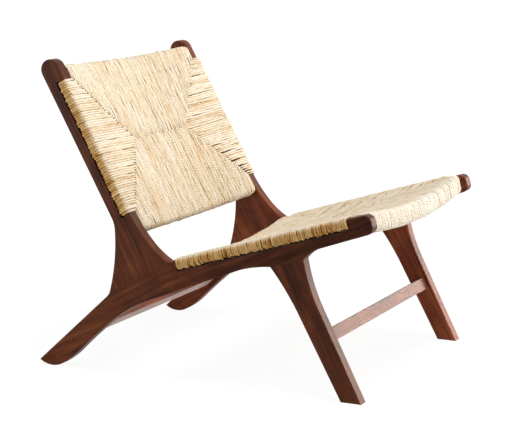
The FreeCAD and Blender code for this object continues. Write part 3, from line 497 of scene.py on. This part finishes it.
def make_strands(name, store):
    """One object of all the strands gathered in a store."""
    mesh = bpy.data.meshes.new(name)
    mesh.from_pydata(store["points"], [], store["faces"])
    mesh.attributes.new("tone", "FLOAT", "POINT").data.foreach_set("value", store["tones"])
    mesh.attributes.new("gold_and_shade", "FLOAT", "POINT").data.foreach_set("value", store["golds_and_shades"])
    lay = mesh.uv_layers.new(name="lay")
    lay.data.foreach_set("uv", [value for pair in store["lays"] for value in pair])
    piece = bpy.data.objects.new(name, mesh)
    bpy.context.collection.objects.link(piece)
    bpy.ops.object.select_all(action="DESELECT")
    bpy.context.view_layer.objects.active = piece
    piece.select_set(True)
    bpy.ops.object.mode_set(mode="EDIT")
    bpy.ops.mesh.select_all(action="SELECT")
    bpy.ops.mesh.normals_make_consistent(inside=False)
    bpy.ops.object.mode_set(mode="OBJECT")
    bpy.ops.object.shade_smooth()
    piece.data.materials.append(leaf_cord)
    return piece


def new_store():
    """Empty lists for the rings of many strands."""
    return {"points": [], "faces": [], "tones": [], "golds_and_shades": [], "lays": []}


def count_turns(length):
    """Number of turns side by side on a length, and their pitch."""
    turns = round(length / PITCH)
    return turns, length / turns


def on_panel(panel, x, place, level):
    """Point at a place across the chair, a place along a panel and a level on its face."""
    return panel["start"] + Vector((x, 0, 0)) + panel["along"] * place + panel["out"] * level


# Every second turn dives farther in, so that neighbours don't end in line, and turns over
# the rails pass the middle seam a little. Those beside the planks slip down on the rail.
RAIL_DIVES = (0.0003, 0.0037)
CORE_DIVES = (0.0008, 0.0042)
SEAM_OVERLAP = 0.0010
SLIP = 0.0032
SLIP_WIDTH = 0.018

# The cord's usual tone on its ramp from brown to cream, and how turns differ from each other
RAIL_TONE = 0.54
CORE_TONE = 0.56
TONE_SPREAD = 0.075

# Half the length of a parted spot, and the share of the slot in which its gap closes again
PARTED_LENGTH = 0.024
PARTED_SHARE = 0.02


def wind_rails(name, panel, seed):
    """Turns over the two rails of a panel, whose ends scatter by 1 mm and places by 0.4 mm."""
    rng = random.Random(seed)
    store = new_store()
    low, high = panel["slot"]
    step = count_turns(high - low)[1]
    cross_turns, cross = count_turns(2 * INNER)
    for rail, sign, edge in (("low", -1, low), ("high", 1, high)):
        inner, width, height = panel[rail]
        for i in range(cross_turns):
            count = min(i, cross_turns - 1 - i)
            depth = (count + 0.5) * step + RAIL_DIVES[i % 2]
            depth = min(depth, (high - low) / 2 + SEAM_OVERLAP) + rng.gauss(0, 0.0010)
            # The turns of one rail end between those of the other
            x = (i + 0.5 + 0.2 * sign) * cross - INNER + rng.gauss(0, 0.0004)
            slip = SLIP * clamp((abs(x) - INNER + SLIP_WIDTH) / SLIP_WIDTH) ** 2
            slack = rng.uniform(-0.0002, 0.0011) - slip
            path = rail_path(abs(inner - edge) + depth, width, height, slack)
            sag = dish(x) - slip
            own = rng.gauss(0, TONE_SPREAD)

            def to_panel(across, level, side, x=x, inner=inner, sign=sign, sag=sag):
                return on_panel(panel, x + side, inner + sign * across, level + sag)

            def look(across, level, x=x, inner=inner, sign=sign, own=own, rail=rail):
                # Streaks of browner leaf, about 20 mm wide and 110 mm long, and wider patches of
                # yellower leaf. Past the low rail's edge the cord is less golden, and on the seat's
                # front roll painted lighter: painted light.
                place = inner + sign * across
                streak = noise.noise(Vector((x / 0.022, place / 0.11, seed)))
                patch = noise.noise(Vector((x / 0.035, place / 0.09, seed + 5)))
                front = clamp((across - panel["painted_light_from"]) / 0.02) * (rail == "low")
                tone = RAIL_TONE + own + 0.22 * min(streak + 0.1, 0.1) + panel["painted_front_light"] * front
                return tone, max(0.0, 0.02 + 0.30 * patch - 0.3 * front)

            add_strand(store, rng, path, to_panel, look, loose=0.9, squeeze=0.14)
    return make_strands(name, store)


def wind_cores(name, panel, seed):
    """Turns round the cores of the two side frames, whose ends scatter by about 1 mm."""
    rng = random.Random(seed)
    store = new_store()
    low, high = panel["slot"]
    turns, step = count_turns(high - low)
    cross = count_turns(2 * INNER)[1]
    for sign in (-1, 1):
        for i in range(turns):
            count = min(i, turns - 1 - i)
            end = INNER - (count + 0.5) * cross - CORE_DIVES[i % 2] + rng.gauss(0, 0.0011)
            loose = panel["loose"](sign, i / turns)
            place = low + (i + 0.5) * step + rng.gauss(0, 0.00015 + 0.0004 * loose)
            own = rng.gauss(0, TONE_SPREAD)
            slack = rng.uniform(-0.0004, 0.0024)
            path = core_path(end, slack, droop=rng.uniform(-0.0004, 0.0022))
            parts = [spot[1:] for spot in panel["parted"] if spot[0] == sign]

            def to_panel(across, level, side, place=place, sign=sign, parts=parts):
                apart = 0
                for middle, centre, gap in parts:
                    reach = (place - low) / (high - low) - middle
                    beside = math.exp(-abs(reach) / PARTED_SHARE)
                    open_here = math.exp(-((across - centre) / PARTED_LENGTH) ** 2)
                    apart += math.copysign(gap, reach) * beside * open_here
                return on_panel(panel, sign * across, place + side + apart, level)

            def look(across, level, place=place, own=own, sign=sign):
                # Painted shade: the cord is golden and browner on its way down the plank's outer side
                painted_side_shade = clamp((0.0016 - level) / 0.005) * (across > INNER + 0.005)
                streak = noise.noise(Vector((place / 0.018, across / 0.09, seed + sign)))
                patch = noise.noise(Vector((place / 0.03, across / 0.06, seed + 7)))
                tone = CORE_TONE + own * (1 + 0.6 * painted_side_shade) + 0.22 * min(streak, 0.1)
                tone -= panel["side_shade_depth"] * painted_side_shade
                # In the slot, and just before it, the cord is painted dark and golden: painted shade
                painted_shade = (level < 0.002 - CORE) * (INNER - 0.006 < across < OUTER - 0.001)
                return tone - 0.45 * painted_shade, min(max(0.0, 0.2 * patch) + painted_side_shade + painted_shade, 1)

            add_strand(store, rng, path, to_panel, look, loose, squeeze=0.06 + 0.4 * loose)
    return make_strands(name, store)


# Thickness of the cord between the two faces, and its distance from the planks and rails
FILLING = 0.011
FILLING_GAP = 0.001


def lay_filling(name, panel):
    """The crossing cords between the two faces, seen only as dark gaps, as one dished mat."""
    bpy.ops.object.select_all(action="DESELECT")
    low, high = panel["low"][0], panel["high"][0]
    bpy.ops.mesh.primitive_grid_add(x_subdivisions=40, y_subdivisions=8, size=1, location=(0, 0, 0))
    mat = bpy.context.object
    mat.name = name
    for vertex in mat.data.vertices:
        x = vertex.co.x * 2 * (INNER - FILLING_GAP)
        place = (low + high) / 2 + vertex.co.y * (high - low - 2 * FILLING_GAP)
        vertex.co = on_panel(panel, x, place, MIDDLE + dish(x))
    thick = mat.modifiers.new("thickness", "SOLIDIFY")
    thick.thickness = FILLING
    thick.offset = 0
    bpy.ops.object.modifier_apply(modifier=thick.name)
    bpy.ops.object.shade_smooth()
    mat.data.materials.append(shaded_cord)
    return mat


def weave(node, panel, seed):
    """The cord of a panel in three pieces, which stand for its CAD solid."""
    pieces = [
        wind_rails(f"{node}_rail_turns", panel, seed),
        wind_cores(f"{node}_side_turns", panel, seed + 1),
        lay_filling(f"{node}_filling", panel),
    ]
    for piece in pieces:
        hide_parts(node)
        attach(piece, "root")


# The back's face line starts above the crease and leans as the posts do. A rail is given by
# the place of its inner edge on that line, its width and its height, and each parted spot by
# its side, its share of the slot's length, its distance from the chair's middle and its gap.
# The side turns are looser toward the lower corners, most of all on the left. The last values are how
# much painted light brightens the cord past the low rail's edge, from where on, and how much painted
# shade darkens it on the planks' outer sides.
lean = math.radians(POST_LEAN)
BACK = {
    "start": Vector((0, 0.103318, 0.254221)),
    "along": Vector((0, math.sin(lean), math.cos(lean))),
    "out": Vector((0, -math.cos(lean), math.sin(lean))),
    "low": (0.132, 0.036, 0.022),
    "high": (0.472667, 0.033, 0.022),
    "slot": (0.139, 0.472667),
    "loose": lambda sign, share: (
        max(0.15, 0.6 - share / 0.7) if sign < 0 else max(0.25, 1.4 - share / 0.3)),
    "parted": ((1, 0.58, 0.26, 0.0014), (1, 0.56, 0.20, 0.0012), (1, 0.85, 0.27, 0.0010),
               (1, 0.72, 0.27, 0.0008), (1, 0.30, 0.22, 0.0016), (1, 0.22, 0.24, 0.0019),
               (1, 0.15, 0.26, 0.0021), (1, 0.09, 0.27, 0.0020), (-1, 0.52, 0.24, 0.0010),
               (-1, 0.44, 0.20, 0.0011), (-1, 0.31, 0.22, 0.0013), (-1, 0.26, 0.24, 0.0012)),
    "painted_front_light": 0,
    "painted_light_from": 0,
    "side_shade_depth": 0.06,
}
weave("woven_back", BACK, seed=11)

# Woven seat: the same cord and the same winding as the back, over the seat's two rails and over the
# cores of the seat rails. Its front edge is painted brightest, as painted light, and the painted
# shade on the planks' outer sides is deeper than the back's.
SEAT = {
    "start": SEAT_START,
    "along": SEAT_ALONG,
    "out": SEAT_OUT,
    "low": (-0.449, 0.033, 0.0348),
    "high": (-0.0185, 0.022, 0.030),
    "slot": SEAT_SLOT,
    "loose": lambda sign, share: 0.22 if sign < 0 else 0.9,
    "parted": ((1, 0.06, 0.28, 0.0026), (1, 0.12, 0.275, 0.0030), (1, 0.19, 0.28, 0.0030),
               (1, 0.26, 0.275, 0.0028), (1, 0.34, 0.28, 0.0024), (1, 0.44, 0.27, 0.0018)),
    "painted_front_light": 0.2,
    "painted_light_from": 0.008,
    "side_shade_depth": 0.15,
}
weave("woven_seat", SEAT, seed=23)

# Studio: a plain white floor that fades into a white surround and keeps a faint shadow of
# the chair.
bpy.ops.object.select_all(action="DESELECT")
bpy.ops.mesh.primitive_plane_add(size=60, location=(0, 0, 0))
floor = bpy.context.object
floor.name = "studio_floor"
white = new_material("white_floor_paint")
seen = add_node(white, "ShaderNodeLightPath")
# To the camera the floor glows nearly white, and its grey paint adds the rest and the shadow
spot = add_node(white, "ShaderNodeTexCoord")
reach = add_node(white, "ShaderNodeVectorMath", {"operation": "LENGTH"}, {0: spot.outputs["Object"]})
fade = add_node(white, "ShaderNodeMapRange", {"interpolation_type": "SMOOTHSTEP"}, {
    "Value": reach.outputs["Value"], "From Min": 0.5, "From Max": 2.2, "To Min": 0.91, "To Max": 1.0})
matt = add_node(white, "ShaderNodeBsdfDiffuse", inputs={"Color": linear("#686868")})
glow = add_node(white, "ShaderNodeEmission", inputs={
    "Color": (1, 1, 1, 1), "Strength": fade.outputs["Result"]})
both = add_node(white, "ShaderNodeAddShader", inputs={
    0: matt.outputs["BSDF"], 1: glow.outputs["Emission"]})
# Gloss on the chair mirrors a white floor at half strength, and other light meets pale paint
plain = add_node(white, "ShaderNodeBsdfDiffuse", inputs={"Color": linear("#DCDCDC")})
mirrored = add_node(white, "ShaderNodeEmission", inputs={"Color": (1, 1, 1, 1), "Strength": 0.5})
rest = add_node(white, "ShaderNodeMixShader", inputs={
    "Fac": seen.outputs["Is Glossy Ray"], 1: plain.outputs["BSDF"], 2: mirrored.outputs["Emission"]})
choice = add_node(white, "ShaderNodeMixShader", inputs={
    "Fac": seen.outputs["Is Camera Ray"], 1: rest.outputs["Shader"], 2: both.outputs["Shader"]})
add_node(white, "ShaderNodeOutputMaterial", inputs={"Surface": choice.outputs["Shader"]})
floor.data.materials.append(white)

# The surround is white to the camera, grey to gloss, and lights the chair only a little
world = bpy.data.worlds.new("white_surround")
bpy.context.scene.world = world
world.use_nodes = True
world.node_tree.nodes.clear()
ray = add_node(world, "ShaderNodeLightPath")
shown = add_node(world, "ShaderNodeMath", {"operation": "MULTIPLY_ADD"}, {
    0: ray.outputs["Is Glossy Ray"], 1: 0.35, 2: ray.outputs["Is Camera Ray"]})
level = add_node(world, "ShaderNodeMapRange", inputs={
    "Value": shown.outputs["Value"], "To Min": 0.18, "To Max": 1.0})
sky = add_node(world, "ShaderNodeBackground", inputs={
    "Color": (1, 1, 1, 1), "Strength": level.outputs["Result"]})
add_node(world, "ShaderNodeOutputWorld", inputs={"Surface": sky.outputs["Background"]})


def add_softbox(name, place, aim, size, power, colour="#FFFFFF"):
    """Square soft light turned to a point, with its size in metres and its power in watts."""
    data = bpy.data.lights.new(name, "AREA")
    data.color = linear(colour)[:3]
    data.size = size
    data.energy = power
    lamp = bpy.data.objects.new(name, data)
    lamp.location = place
    lamp.rotation_euler = (Vector(aim) - Vector(place)).to_track_quat("-Z", "Y").to_euler()
    bpy.context.collection.objects.link(lamp)


add_softbox("front_softbox", (0.4, -3.8, 1.0), (0, 0, 0.25), size=2.0, power=84)
add_softbox("side_softbox", (3.4, -1.9, 0.8), (0, -0.1, 0.3), size=1.8, power=78, colour="#FFF2E8")
add_softbox("top_softbox", (-0.3, -0.4, 3.4), (0, 0, 0.3), size=2.0, power=85)
add_softbox("rear_softbox", (-1.3, 1.2, 0.35), (-0.3, 0.4, 0.1), size=0.6, power=5)

# Camera at the photograph's place: low in front of the chair's right side, with a long lens
# whose focal length is 1750 pixels of a picture 506 wide. It dips and turns by these degrees.
CAMERA_DIP = 10.237
CAMERA_TURN = 25.484
camera = bpy.data.objects.new("camera", bpy.data.cameras.new("camera"))
camera.data.sensor_width = 36
camera.data.lens = 124.506
camera.location = (-3.69152, -1.74175, 1.05475)
camera.rotation_euler = (math.radians(90 - CAMERA_DIP), 0, math.radians(CAMERA_TURN - 90))
bpy.context.collection.objects.link(camera)
bpy.context.scene.camera = camera
bpy.context.scene.view_settings.view_transform = "Standard"
